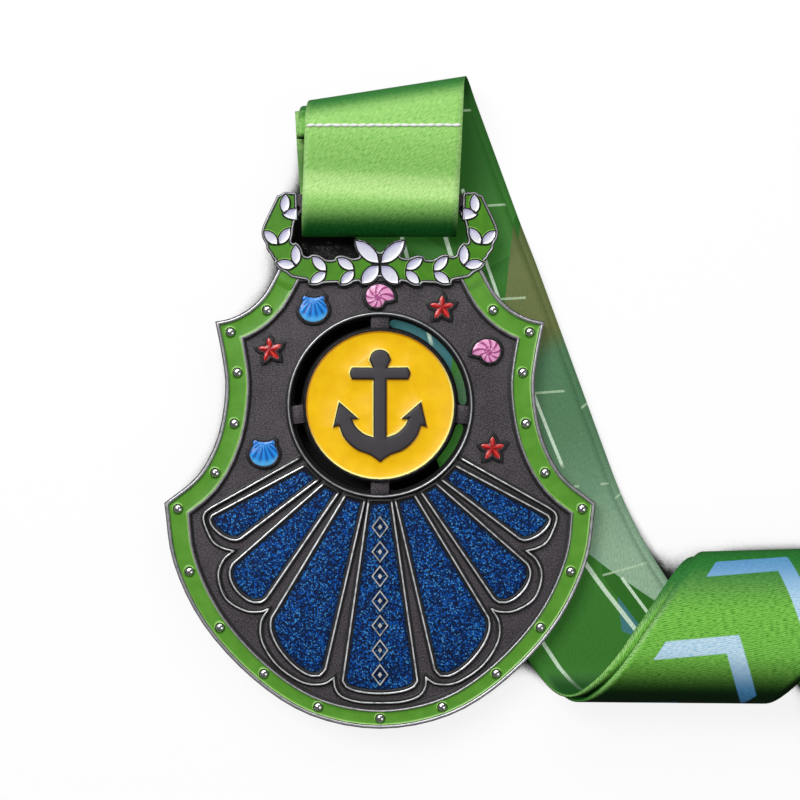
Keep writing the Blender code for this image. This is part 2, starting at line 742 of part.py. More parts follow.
def ribbon(parts):
    lines, stitch = ribbon_lines()
    shape = bmesh.new()
    half = RIBBON_WIDTH / 2
    ends = [shape.verts.new(lines[0][0] + lines[0][1] * side) for side in (-half, half)]
    edge = shape.edges.new(ends)
    for middle, line, inside in lines[1:]:
        made = bmesh.ops.extrude_edge_only(shape, edges=[edge])["geom"]
        edge = next(item for item in made if isinstance(item, bmesh.types.BMEdge))
        if ends[0] not in [near.other_vert(edge.verts[0]) for near in edge.verts[0].link_edges]:
            ends = edge.verts[::-1]
        else:
            ends = edge.verts[:]
        for vert, side in zip(ends, (-half, half)):
            vert.co = middle + line * side
    mesh = bpy.data.meshes.new("ribbon")
    shape.to_mesh(mesh)
    shape.free()
    mesh.materials.append(material("ribbon", "satin"))
    made = object_from("ribbon", mesh, parts)
    wall = made.modifiers.new("thickness", "SOLIDIFY")
    wall.thickness = RIBBON_THICK
    wall.offset = 0.0
    wall.use_even_offset = True
    return lines[stitch]


def seam_thread(seam, parts):
    """A row of stitches across the front layer, dipping towards the cloth between them."""
    middle, line, inside = seam
    rest = RIBBON_THICK / 2 + THREAD_GAP + THREAD_RADIUS
    count = int(RIBBON_WIDTH / STITCH_PITCH)
    curve = bpy.data.curves.new("seam_thread", "CURVE")
    curve.dimensions = "3D"
    curve.bevel_depth = THREAD_RADIUS
    curve.bevel_resolution = 1
    curve.use_fill_caps = True
    spline = curve.splines.new("POLY")
    spline.points.add(count * 2)
    for index, point in enumerate(spline.points):
        lift = THREAD_RADIUS / 2 * (index % 2)
        place = middle + line * STITCH_PITCH * (index / 2 - count / 2) - inside * (rest + lift)
        point.co = (*place, 1.0)
    curve.materials.append(material("seam_thread", "thread"))
    object_from("seam_thread", curve, parts)


def main():
    clear_scene()
    parts = new_collection("finisher_medal")
    medal = Medal(parts)
    medal.border()
    medal.fan()
    medal.disc()
    medal.ornaments()
    medal.hanger()
    medal.plate()
    seam_thread(ribbon(parts), parts)


main()
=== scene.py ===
"""Looks of the finisher medal: cast metal, soft enamel, printed satin ribbon and the flat-lay view.

The casting stays as the CAD made it. Ridges, enamel fills and ornaments are laid over it from the outlines
of the CAD's own fills, and the ribbon is walked again along a like route in finer steps.
"""

import math
import random

import bmesh
import bpy
from mathutils import Matrix, Vector


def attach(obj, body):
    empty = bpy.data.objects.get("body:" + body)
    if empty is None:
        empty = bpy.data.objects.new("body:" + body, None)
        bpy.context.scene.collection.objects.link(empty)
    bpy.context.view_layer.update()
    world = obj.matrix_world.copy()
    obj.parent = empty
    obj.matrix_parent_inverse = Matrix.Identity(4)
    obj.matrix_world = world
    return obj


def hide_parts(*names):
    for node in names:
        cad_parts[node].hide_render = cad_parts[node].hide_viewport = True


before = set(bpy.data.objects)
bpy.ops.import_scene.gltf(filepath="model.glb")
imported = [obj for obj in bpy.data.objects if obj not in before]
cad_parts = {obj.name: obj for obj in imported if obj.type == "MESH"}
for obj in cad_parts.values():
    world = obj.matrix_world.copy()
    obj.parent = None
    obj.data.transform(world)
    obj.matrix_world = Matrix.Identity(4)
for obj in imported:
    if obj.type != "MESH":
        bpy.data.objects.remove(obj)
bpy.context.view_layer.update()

MM = 0.001
WELD = 0.000002

# Levels of the casting and its fills, as in the CAD
FIELD_LEVEL = 2.6 * MM
PLATE_TOP = 3.4 * MM
WREATH_TOP = 3.7 * MM
CHANNEL_LEVEL = 1.6 * MM

# Centre disc and ring
DISC_RADIUS = 14.5 * MM
CHANNEL_WIDTH = 2.5 * MM
RING_RIM = 0.55 * MM
BRIDGE_WIDTH = 3.5 * MM
BRIDGE_ANGLES = (-6.6, 90.0, 186.6, 270.0)
STUD_RADIUS = 1.04 * MM
LINE_START = 18.9 * MM

# Flower in the middle of the wreath, and the notches in the wreath's outline that the ribbon hides
FLOWER_Y = 26.6 * MM
FLOWER_HEART = 1.7 * MM
NOTCH_X = 17.0 * MM
NOTCH_FROM = 37.0 * MM
NOTCH_TO = 39.5 * MM

# Row of lozenges down the middle petal
LOZENGES = 7
LOZENGE_FIRST = -23.1 * MM
LOZENGE_PITCH = 4.66 * MM
LOZENGE_HALF = (1.45 * MM, 1.9 * MM)

# Scalloped line round the fan, right half, in millimetres
SCALLOP_START = 56.6
SCALLOPS = (
    ((31.9, -19.4), (33.2, -20.5), (33.3, -22.2), (31.8, -25.6), (29.9, -27.0), (27.7, -27.6)),
    ((27.7, -27.6), (29.7, -29.4), (30.6, -32.4), (29.2, -36.6), (25.6, -38.9), (22.6, -39.1), (21.0, -38.5)),
    ((21.0, -38.5), (22.5, -41.0), (22.3, -44.8), (19.4, -49.3), (14.6, -52.5), (10.8, -52.8), (8.7, -51.6)),
    ((8.7, -51.6), (8.5, -53.5), (7.2, -55.2), (4.0, -56.2), (0.0, -56.4)),
)

# Leaf at each end of the wreath, cut off where the ribbon lies over it
CUT_LEAF = (
    (18.2, 36.05), (17.8, 36.42), (17.1, 36.8), (16.3, 37.0), (15.8, 37.05),
    (15.8, 35.15), (16.3, 35.18), (17.1, 35.33), (17.8, 35.64),
)
HALF_LEAF = {
    "leaf_enamel_5a_right": [Vector(point) * MM for point in CUT_LEAF],
    "leaf_enamel_5a_left": [Vector((-x, y)) * MM for x, y in reversed(CUT_LEAF)],
}

# Ribbon route, close to the CAD's
BAR_Y = 38.1 * MM
BAR_Z = 2.6 * MM
RIBBON_WIDTH = 29.4 * MM
RIBBON_THICK = 0.5 * MM
LAYER_STEP = 0.9 * MM
LAYER_SHIFT = -1.5 * MM
RIBBON_LEAN = -2.5
RIBBON_X = -0.5 * MM
TABLE_Z = -3.6 * MM
TABLE_GAP = 0.3 * MM
TAIL_END = 6.0 * MM
TAIL_RUN = 6.0 * MM
TAIL_RADIUS = 8.0 * MM
TAIL_TILT = 15.0
LOOP_FLAT = 4.0 * MM
LOOP_RADIUS = 2.8 * MM
LOOP_DROP = 5.8 * MM
LOOP_BACK = 1.8 * MM
LOOP_BENDS = ((120.0, 1.0 * MM), (60.0, 8.2 * MM))
LOOP_SKEW = 2.5
FRONT_TILT = 12.0
FRONT_RADIUS = 14.0 * MM
FRONT_RUN = 6.05 * MM
STITCH_TO_FOLD = 3.2 * MM
FOLD_SKEW = 11.3
BACK_START = 24.0 * MM
BACK_RISE = (12.0, 25.0 * MM, 3.6 * MM)
BACK_RUN = 39.4 * MM
STEER = 12.4
STEER_RUN = 24.0 * MM
ROLL_START = 13.2 * MM
ROLL_IN = ((130.0, 5.6 * MM), (50.0, 14.3 * MM))
ROLL_TOP = 4.0 * MM
ROLL_OUT = ((50.0, 14.3 * MM), (130.0, 6.73 * MM))
ROLL_SKEWS = (33.0, 35.0)
EXIT_RUN = 64.0 * MM
STACK_RUN = 40.0 * MM
STACK_RADIUS = 1.6 * MM
STACK_FOLDS = 4
BEND_STEP = 7.0
STEER_STEP = 2.0
RUN_STEP = 4.0 * MM
RIBBON_COLUMNS = 20
FAR_TURN = 2.0 * MM
STITCH_PITCH = 1.6 * MM
SEAM_LIFT = 1.0 * MM
SEAM_SLANT = 2.6

# Places along the ribbon: its sewn tail, its painted highlight, its printed part, the colours of its reverse,
# and the painted shadow below its top fold
TAIL_TO = 20.0 * MM
PAINTED_GLOSS_AT = 36.0 * MM
PRINT_FROM = 70.0 * MM
PALE_FROM = 120.0 * MM
PALE_TO = 144.6 * MM
PALE_FADE = 48.0 * MM
OLIVE_FROM = 122.3 * MM
OLIVE_TO = 121.0 * MM
# Painted shadow on the reverse, deepening from the first place towards the second, below the top fold
SHADE_FROM = 102.0 * MM
SHADE_TO = 78.0 * MM

# Print: chevrons and rungs for each metre, and streaks by start, swing, waves and half width
CHEVRONS = 54.0
CHEVRON_HALF = 10.5 * MM
RUNGS = 52.0
STREAKS = (
    (4.0 * MM, 3.0 * MM, 34.0, 0.42 * MM),
    (-6.5 * MM, 4.0 * MM, 21.0, 0.36 * MM),
    (9.5 * MM, 2.5 * MM, 27.0, 0.3 * MM),
)

# View: straight down on the face, from this far above it
VIEW_X = 3.79 * MM
VIEW_Y = 0.95 * MM
VIEW_DISTANCE = 300.0 * MM
VIEW_WIDTH = 151.44 * MM
SENSOR = 36.0

# Table, how far over it things darken it with painted shadow, and softboxes: name, place, size and power
TABLE_SIZE = 3.0
TABLE_SHADE = 40.0 * MM
SOFTBOXES = (
    ("key_softbox", (-0.32, 0.36, 0.68), (0.45, 0.45), 5.4),
    ("north_softbox", (0.1, 0.7, 0.5), (0.8, 0.2), 2.5),
    ("fill_softbox", (0.5, -0.3, 0.5), (0.4, 0.5), 1.0),
)


def linear(code):
    """A hex colour as linear red, green, blue and alpha."""
    parts = [int(code[i : i + 2], 16) / 255 for i in (0, 2, 4)]
    return (*(c / 12.92 if c <= 0.04045 else ((c + 0.055) / 1.055) ** 2.4 for c in parts), 1.0)


class Wire:
    """A socket of a node tree. Arithmetic on it adds Math nodes."""

    def __init__(self, tree, socket=None):
        self.tree = tree
        self.socket = socket

    def make(self, kind, inputs, output=0, **settings):
        node = self.tree.nodes.new(kind)
        for name, value in settings.items():
            setattr(node, name, value)
        for key, value in inputs.items():
            if isinstance(value, Wire):
                self.tree.links.new(value.socket, node.inputs[key])
            else:
                node.inputs[key].default_value = value
        return Wire(self.tree, node.outputs[output])

    def maths(self, operation, *values):
        return self.make("ShaderNodeMath", dict(enumerate((self, *values))), operation=operation)

    def __add__(self, other):
        return self.maths("ADD", other)

    __radd__ = __add__

    def __mul__(self, other):
        return self.maths("MULTIPLY", other)

    __rmul__ = __mul__

    def __sub__(self, other):
        return self.maths("SUBTRACT", other)

    def __rsub__(self, other):
        return self * -1.0 + other

    def __truediv__(self, other):
        return self.maths("DIVIDE", other)

    def __gt__(self, other):
        return self.maths("GREATER_THAN", other)

    def __lt__(self, other):
        return self.maths("LESS_THAN", other)

    def ramp(self, low, high):
        """0 below low, 1 above high, smooth between."""
        sockets = {"Value": self, "From Min": low, "From Max": high}
        return self.make("ShaderNodeMapRange", sockets, interpolation_type="SMOOTHSTEP")

    def mix(self, first, second):
        """The first colour where this is 0, the second where it is 1."""
        return self.make("ShaderNodeMix", {0: self, 6: first, 7: second}, output=2, data_type="RGBA")

    def axis(self, index):
        return self.make("ShaderNodeSeparateXYZ", {0: self}, output=index)

    def stretched(self, scale, turn=0.0):
        sockets = {"Vector": self, "Scale": scale, "Rotation": (0.0, 0.0, math.radians(turn))}
        return self.make("ShaderNodeMapping", sockets)

    def noise(self, scale, detail=2.0):
        return self.make("ShaderNodeTexNoise", {"Vector": self, "Scale": scale, "Detail": detail})

    def cells(self, scale, output="Distance", **settings):
        return self.make("ShaderNodeTexVoronoi", {"Vector": self, "Scale": scale}, output=output, **settings)

    def parts(self):
        """The red, green and blue of a colour."""
        return [self.make("ShaderNodeSeparateColor", {0: self}, output=index) for index in range(3)]

    def tilt(self):
        """How far the surface leans towards the light at the upper left of the view."""
        normal = self.make("ShaderNodeNewGeometry", {}, output="Normal")
        return normal.axis(1) * 0.85 - normal.axis(0) * 0.5

    def bump(self, strength, distance):
        return self.make("ShaderNodeBump", {"Height": self, "Strength": strength, "Distance": distance})


def finish(name, look, uv=False):
    """A Principled material whose sockets come from the look."""
    made = bpy.data.materials.new(name)
    made.use_nodes = True
    tree = made.node_tree
    shader = tree.nodes["Principled BSDF"]
    root = Wire(tree)
    place = root.make("ShaderNodeTexCoord", {}, output="UV" if uv else "Object")
    for key, value in look(place).items():
        if isinstance(value, Wire):
            tree.links.new(value.socket, shader.inputs[key])
        else:
            shader.inputs[key].default_value = value
    return made


BLACK = linear("0B0A0B")


def casting_look(place):
    """Dark nickel with a sand-cast grain in the field, and painted shade: black down in the ring channel."""
    x, y, z = (place.axis(index) for index in range(3))
    grain = place.noise(4200.0, 3.0)
    patches = place.noise(260.0, 2.0)
    radius = (x * x + y * y).maths("SQRT")
    ring = radius < DISC_RADIUS + CHANNEL_WIDTH + 0.2 * MM
    # Painted shade: everything low in the ring channel is black.
    channel = ring * (z < CHANNEL_LEVEL + 0.1 * MM) * (z > 0.05 * MM)
    tone = (grain * 0.85 + patches * 0.15).ramp(0.36, 0.64)
    field = tone.mix(linear("262226"), linear("5E575D"))
    return {
        "Base Color": channel.mix(field, BLACK),
        "Metallic": 0.45,
        "Roughness": 0.55 + channel * 0.2,
        "Normal": grain.bump(0.5, 0.1 * MM),
    }


def ridge_look(dark, bright, top_colour="E9EAEC", bare=0.0):
    """A raised line, black at its foot and bright along its top, and all black inside the bare radius; the
    black at its foot is black plating and painted shade together.
    """

    def look(place):
        x, y, z = (place.axis(index) for index in range(3))
        radius = (x * x + y * y).maths("SQRT")
        # Below the bright top the line is black: black plating and painted shade at its foot together.
        top = z.ramp(dark, bright) * radius.ramp(bare - 0.6 * MM, bare)
        wear = place.noise(900.0, 3.0)
        return {
            "Base Color": top.mix(BLACK, wear.ramp(0.2, 0.6).mix(linear("9A9BA0"), linear(top_colour))),
            "Metallic": top * 0.6,
            "Roughness": 0.5 - top * 0.22 + wear * 0.08,
            "Normal": wear.bump(0.08, 0.05 * MM),
        }

    return look


def blackened_look(place):
    """Black nickel, a little worn along its edges."""
    wear = place.noise(1400.0, 3.0)
    return {
        "Base Color": wear.ramp(0.35, 0.8).mix(BLACK, linear("2A282A")),
        "Metallic": 0.5,
        "Roughness": 0.38 + wear * 0.15,
        "Normal": wear.bump(0.1, 0.05 * MM),
    }


def emblem_look(place):
    z = place.axis(2)
    grain = place.noise(4200.0, 3.0)
    edge = z.ramp(3.62 * MM, 3.48 * MM)
    return {
        "Base Color": edge.mix(linear("4B484B"), linear("232124")),
        "Metallic": 0.7,
        "Roughness": 0.45 + grain * 0.15,
        "Normal": grain.bump(0.2, 0.05 * MM),
    }


def stud_look(place):
    wear = place.noise(1500.0, 2.0)
    return {
        "Base Color": wear.mix(linear("C9CBCC"), linear("F4F5F5")),
        "Metallic": 1.0,
        "Roughness": 0.16 + wear * 0.08,
    }


def enamel_look(colour, shade, lit, shaded, flat, high):
    """Soft enamel that climbs its pocket's walls, with painted light and shade on the climb: pale where it
    leans towards the light at the upper left, darker where it leans away.
    """

    def look(place):
        climb = place.axis(2).ramp(flat, high)
        cloud = place.noise(420.0, 3.0)
        body = cloud.ramp(0.3, 0.75).mix(linear(shade), linear(colour))
        # Painted light and shade: the climb takes the pale colour where it faces the upper left and the
        # shaded colour where it faces away.
        wall = place.tilt().ramp(-0.22, 0.22).mix(linear(shaded), linear(lit))
        return {
            "Base Color": climb.mix(body, wall),
            "Roughness": 0.34 + cloud * 0.1,
            "Specular IOR Level": 0.3,
            "Coat Weight": 0.12,
            "Coat Roughness": 0.08,
            "Normal": cloud.bump(0.1, 0.1 * MM),
        }

    return look


def glitter_look(place):
    """Navy enamel full of small blue flakes that lie at many angles, darkened near its walls as painted
    shade.
    """
    z = place.axis(2)
    fine = place.stretched((1.0, 1.0, 0.02))
    flakes = fine.cells(3500.0, "Color")
    edges = fine.cells(3500.0, "Distance")
    red, green, blue = flakes.parts()
    drift = fine.noise(240.0, 2.0)
    sparkle = (red + drift * 0.5).ramp(0.64, 0.78) * edges.ramp(0.62, 0.4)
    bright = green.ramp(0.5, 1.0)
    flake = bright.mix(linear("0A6AD8"), linear("5CBCFF"))
    base = blue.mix(linear("020C28"), linear("042454"))
    # Painted shade: darker where the fill dips at its walls.
    inside = z.ramp(2.965 * MM, 2.998 * MM)
    return {
        "Base Color": (inside * 0.75 + 0.25).mix(linear("02040A"), sparkle.mix(base, flake)),
        "Metallic": sparkle * 0.55,
        "Roughness": 0.4 - sparkle * 0.12,
        "Specular IOR Level": 0.2,
        "Coat Weight": 0.05,
        "Coat Roughness": 0.12,
        "Normal": (green * sparkle).bump(0.6, 0.06 * MM),
    }


def glazed(colour, roughness, normal):
    """The glossy enamel of the ornaments."""
    return {"Base Color": colour, "Roughness": roughness, "Coat Weight": 0.5, "Normal": normal}


def shell_look(colour, light, dark, ribs):
    """A fan of ribs that spread from the hinge at the top of the piece's own map."""

    def look(place):
        x, y = place.axis(0) - 0.5, 0.92 - place.axis(1)
        angle = x.maths("ARCTAN2", y)
        ridge = (angle * ribs).maths("COSINE")
        reach = (x * x + y * y).maths("SQRT")
        ridge = ridge * reach.ramp(0.12, 0.3)
        body = ridge.ramp(-0.9, 0.4).mix(linear(dark), linear(colour))
        # Painted light: paler towards the rim, away from the hinge.
        lit = reach.ramp(0.62, 0.86).mix(body, linear(light))
        return glazed(lit, 0.25, ridge.bump(0.5, 0.12 * MM))

    return look


def snail_look(way):
    """Stripes that wind out from the whorl to the mouth."""

    def look(place):
        x, y = (place.axis(0) - (0.5 - 0.1 * way)) * way, place.axis(1) - 0.46
        angle = y.maths("ARCTAN2", x)
        reach = (x * x + y * y).maths("SQRT")
        stripe = (angle * 9.0 + reach * 10.0).maths("COSINE")
        coil = (reach * 42.0 - angle).maths("COSINE").ramp(0.55, 0.95) * reach.ramp(0.26, 0.16)
        body = stripe.ramp(0.1, 0.8).mix(linear("EBA0CC"), linear("A2447F"))
        body = reach.ramp(0.08, 0.14).mix(linear("B45090"), body)
        body = coil.mix(body, linear("8C3070"))
        return glazed(body, 0.25, stripe.bump(0.3, 0.1 * MM))

    return look


def starfish_look(place):
    """Red arms, darker towards their sides, with a painted highlight along each as a pale ridge."""
    x, y = place.axis(0) - 0.5, place.axis(1) - 0.5
    angle = x.maths("ARCTAN2", y)
    arm = (angle * 5.0).maths("COSINE")
    reach = (x * x + y * y).maths("SQRT")
    # Painted highlight: a pale ridge along the middle of each arm, broken by grain.
    ridge = arm.ramp(0.86, 0.99) * reach.ramp(0.08, 0.2)
    grain = place.noise(60.0, 3.0)
    body = arm.ramp(-0.6, 0.8).mix(linear("7A0B0B"), linear("C81616"))
    body = (ridge * grain.ramp(0.35, 0.6)).mix(body, linear("DC5A50"))
    return glazed(body, 0.28, (arm * reach).bump(0.5, 0.2 * MM))


def leaf_look(place):
    """White enamel with painted light and shade: lavender where it hollows away from the light, white where
    it leans towards it.
    """
    cloud = place.noise(700.0, 2.0)
    # Painted light and shade by how far the surface leans towards the upper left.
    lit = (place.tilt() + (cloud - 0.5) * 0.16).ramp(-0.3, 0.3)
    return {
        "Base Color": lit.mix(linear("B0AFD6"), linear("FFFFFF")),
        "Roughness": 0.26,
        "Coat Weight": 0.4,
        "Normal": cloud.bump(0.08, 0.08 * MM),
    }


def thread_look(place):
    twist = place.stretched((1.0, 1.0, 1.0), 35.0).axis(0)
    strand = (twist * 22000.0).maths("SINE")
    return {
        "Base Color": strand.ramp(-1.0, 1.0).mix(linear("D9DBD6"), linear("FBFBF8")),
        "Roughness": 0.75,
        "Normal": strand.bump(0.3, 0.05 * MM),
    }


def shown(name, shape, look, body, replaced=(), smooth=50.0):
    """The finished piece, riding on its body."""
    mesh = bpy.data.meshes.new(name)
    shape.to_mesh(mesh)
    shape.free()
    for polygon in mesh.polygons:
        polygon.use_smooth = True
    mesh.set_sharp_from_angle(angle=math.radians(smooth))
    for made in look if isinstance(look, (list, tuple)) else [look]:
        mesh.materials.append(made)
    piece = bpy.data.objects.new(name, mesh)
    bpy.context.scene.collection.objects.link(piece)
    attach(piece, body)
    if replaced:
        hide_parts(*replaced)
    return piece


def loop_area(loop):
    return sum(a.cross(b) for a, b in zip(loop, loop[1:] + loop[:1])) / 2


def outlines(name, height=None):
    """Outlines of the faces of a CAD node at a height, or at its top: walked with the faces on the left."""
    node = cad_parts[name]
    shape = bmesh.new()
    shape.from_mesh(node.data)
    bmesh.ops.transform(shape, matrix=node.matrix_world, verts=shape.verts)
    bmesh.ops.remove_doubles(shape, verts=shape.verts, dist=WELD)
    level = max(vert.co.z for vert in shape.verts) if height is None else height
    flat = {
        face
        for face in shape.faces
        if face.normal.z > 0.9 and all(abs(vert.co.z - level) < 0.01 * MM for vert in face.verts)
    }
    following = {}
    for face in flat:
        for corner in face.loops:
            if not any(near in flat for near in corner.edge.link_faces if near is not face):
                following[corner.vert] = corner.link_loop_next.vert
    loops = []
    while following:
        vert, after = following.popitem()
        loop = [vert.co.xy.copy()]
        while after in following:
            loop.append(after.co.xy.copy())
            after = following.pop(after)
        loops.append(loop)
    shape.free()
    return sorted(loops, key=lambda loop: abs(loop_area(loop)), reverse=True)


def curved(a, b, c, d, t):
    return (b * 2 + (c - a) * t + (a * 2 - b * 5 + c * 4 - d) * t**2 + (b * 3 - a - c * 3 + d) * t**3) / 2


def refined(loop, step, corner=48.0):
    """The outline with smooth curves between its corners, a point about every step."""
    count = len(loop)

    def turn(index):
        before, after = loop[index] - loop[index - 1], loop[(index + 1) % count] - loop[index]
        return math.degrees(before.angle(after))

    sharp = [turn(index) > corner for index in range(count)]
    spans = [(loop[(index + 1) % count] - loop[index]).length for index in range(count)]
    path = []
    for index, span in enumerate(spans):
        after, beyond = (index + 1) % count, (index + 2) % count
        b, c = loop[index], loop[after]
        pieces = max(1, round(span / step))
        if span > 3 * min(spans[index - 1], spans[after]):
            path += [b.lerp(c, part / pieces) for part in range(pieces)]
            continue
        a = b * 2 - c if sharp[index] else b + (loop[index - 1] - b).normalized() * span
        d = c * 2 - b if sharp[after] else c + (loop[beyond] - c).normalized() * span
        path += [curved(a, b, c, d, part / pieces) for part in range(pieces)]
    return path


def grown(loop, distance):
    """An outline moved to its right: outward where it runs counterclockwise."""
    moved = []
    for a, b, c in zip(loop[-1:] + loop[:-1], loop, loop[1:] + loop[:1]):
        first, second = (b - a).normalized(), (c - b).normalized()
        normals = Vector((first.y, -first.x)) + Vector((second.y, -second.x))
        moved.append(b + normals * distance / max(1 + first.dot(second), 0.45))
    return moved


def softened(loop, step, rounds):
    """The outline in short steps, with its corners worn round."""
    path = []
    for one, two in zip(loop, loop[1:] + loop[:1]):
        pieces = max(1, round((two - one).length / step))
        path += [one.lerp(two, part / pieces) for part in range(pieces)]
    for _ in range(rounds):
        path = [(a + b * 2 + c) / 4 for a, b, c in zip(path[-1:] + path[:-1], path, path[1:] + path[:1])]
    return path


def circle(centre, radius, points):
    turns = (math.tau * step / points for step in range(points))
    return [centre + Vector((math.cos(turn), math.sin(turn))) * radius for turn in turns]


def next_row(shape, verts, edges):
    """The row that an extruded line of vertices gives, in the same order."""
    made = bmesh.ops.extrude_edge_only(shape, edges=edges)["geom"]
    fresh = {item for item in made if isinstance(item, bmesh.types.BMVert)}
    ahead = [[edge.other_vert(vert) for edge in vert.link_edges] for vert in verts]
    row = [next(vert for vert in near if vert in fresh) for near in ahead]
    lines = [item for item in made if isinstance(item, bmesh.types.BMEdge)]
    return row, [edge for edge in lines if fresh.issuperset(edge.verts)]


def swept(shape, loop, profile, chain=None):
    """Bands along an outline, or along a chain of its points.

    The profile's steps are distances to the outline's right, and heights.
    """
    (distance, height), *rest = profile
    chosen = chain or range(len(loop))
    moved = grown(loop, distance)
    verts = [shape.verts.new((*moved[index], height)) for index in chosen]
    edges = [shape.edges.new(pair) for pair in zip(verts, verts[1:] + ([] if chain else verts[:1]))]
    for distance, height in rest:
        verts, edges = next_row(shape, verts, edges)
        moved = grown(loop, distance)
        for vert, index in zip(verts, chosen):
            vert.co = (*moved[index], height)
    return edges


def facing_up(shape):
    bmesh.ops.recalc_face_normals(shape, faces=shape.faces)
    if sum(face.normal.z * face.calc_area() for face in shape.faces) < 0:
        bmesh.ops.reverse_faces(shape, faces=shape.faces)
    return shape


def bands(loops, profile):
    shape = bmesh.new()
    for loop in loops:
        swept(shape, loop, profile)
    return facing_up(shape)


def poured(loops, profile):
    """A surface inside an outline and round its islands, whose edge follows the profile inward."""
    shape = bmesh.new()
    edges = [edge for loop in loops for edge in swept(shape, loop, profile)]
    bmesh.ops.triangle_fill(shape, edges=edges, use_beauty=True, normal=(0.0, 0.0, 1.0))
    return facing_up(shape)


def mapped(shape, centre, size):
    """A map of the piece seen from above, 0 to 1 across its size."""
    layer = shape.loops.layers.uv.new("UVMap")
    for face in shape.faces:
        for corner in face.loops:
            corner[layer].uv = (corner.vert.co.xy - centre) / size + Vector((0.5, 0.5))
    return shape


def middle_of(loop):
    low = Vector((min(p.x for p in loop), min(p.y for p in loop)))
    high = Vector((max(p.x for p in loop), max(p.y for p in loop)))
    return (low + high) / 2, max(high - low)


def in_mm(*profile):
    return [(distance * MM, height * MM) for distance, height in profile]


def polar(angle, radius):
    """A point at an angle from straight down, positive towards +X."""
    turn = math.radians(angle)
    return Vector((math.sin(turn), -math.cos(turn))) * radius


def scallop_path():
    half = [polar(SCALLOP_START, DISC_RADIUS + CHANNEL_WIDTH + RING_RIM + 0.4 * MM)]
    for points in SCALLOPS:
        line = [Vector(point) * MM for point in points]
        ends = [line[0] * 2 - line[1], *line, line[-1] * 2 - line[-2]]
        for a, b, c, d in zip(ends, ends[1:], ends[2:], ends[3:]):
            half += [curved(a, b, c, d, part / 5) for part in range(5)]
    half.append(Vector(SCALLOPS[-1][-1]) * MM)
    return half + [Vector((-point.x, point.y)) for point in reversed(half[:-1])]


def band(path, width):
    """A closed outline round an open path."""
    sides = []
    for side in (-0.5, 0.5):
        moved = []
        for before, point, after in zip([path[0], *path], path, [*path[1:], path[-1]]):
            first = (point - before).normalized() if point != before else (after - point).normalized()
            second = (after - point).normalized() if point != after else first
            normals = Vector((first.y, -first.x)) + Vector((second.y, -second.x))
            moved.append(point + normals * side * width / max(1 + first.dot(second), 0.5))
        sides.append(moved)
    return sides[0] + sides[1][::-1]


LINE = finish("raised_line", ridge_look(3.51 * MM, 3.56 * MM, "F6F6F8", bare=LINE_START))
CONTOUR = finish("wreath_line", ridge_look(3.8 * MM, 3.88 * MM, "A4A4A8"))
RIM = finish("cast_rim", ridge_look(2.7 * MM, 3.1 * MM, "BCBCC0"))
RING = finish("ring_line", ridge_look(3.47 * MM, 3.52 * MM, "BCBCC0"))
# Flat black all over: the painted shade along the feet of the field's walls, and the flower's black heart.
FOOT = finish("flat_black", ridge_look(4.0 * MM, 5.0 * MM))
BLACKENED = finish("black_nickel", blackened_look)
CASTING = finish("dark_nickel", casting_look)

# Cross sections, each step a distance from the outline of a fill and a height, in millimetres
RIM_PROFILE = in_mm(
    (0.84, 1.0), (0.84, 2.7), (0.78, 3.1), (0.66, 3.42), (0.46, 3.54), (0.26, 3.5), (0.1, 3.3), (0.02, 3.0)
)
INNER_PROFILE = in_mm(
    (0.46, 2.6), (0.45, 3.2), (0.4, 3.42), (0.3, 3.5), (0.16, 3.48), (0.06, 3.3), (0.02, 3.0)
)
LINE_PROFILE = in_mm(
    (0.58, 2.6), (0.56, 3.3), (0.52, 3.44), (0.44, 3.52), (0.36, 3.57),
    (0.2, 3.57), (0.12, 3.5), (0.04, 3.42), (-0.04, 3.1), (-0.3, 3.03),
)
FOOT_PROFILE = in_mm((0.05, 3.0), (0.0, 2.72), (-0.3, 2.66), (-0.42, 2.6))
POOL_PROFILE = in_mm((0.12, 2.5), (0.1, 3.2), (0.0, 3.12), (-0.16, 3.06), (-0.4, 3.02))
UNDER_WREATH = 2.2 * MM
END_ROWS = ((-1.0, 3.02), (-0.35, 3.2), (0.0, 3.42), (0.5, 3.46), (2.2, 3.46))
PETAL_PROFILE = in_mm((0.02, 2.5), (0.0, 2.95), (-0.3, 2.96), (-0.8, 3.0))


def pool(name, node, look, slot, profile, step=0.5 * MM, uv=False, spread=0.0, other=None):
    """The fill that stands for a CAD fill, with its outline and the outlines of its islands."""
    loops = [grown(refined(loop, step), spread) for loop in ([other] if other else outlines(node))]
    shape = poured(loops, profile)
    if uv:
        mapped(shape, *middle_of(loops[0]))
    shown(name, shape, look, "medal", [node])
    return loops


def dress_field():
    """Painted shade: a black band along the foot of every wall of the sunk field."""
    loops = [refined(loop, 0.6 * MM) for loop in outlines("medal_plate", FIELD_LEVEL)]
    shown("painted_shade_feet", bands(loops, FOOT_PROFILE), FOOT, "medal")


def run_on(loop, distance):
    """The border's outline with its ends carried on under the wreath, and the corners before and after."""
    count = len(loop)
    moved = list(loop)
    corners = []
    for index, point in enumerate(loop):
        before, after = loop[index - 1], loop[(index + 1) % count]
        if point.y > 20.0 * MM and (point - before).angle(after - point) > 0.8:
            near = min((before, after), key=lambda place: (place - point).length)
            way = (point - near).normalized()
            moved[index] = point + way * distance
            corners.append((point, way))
    return moved, corners


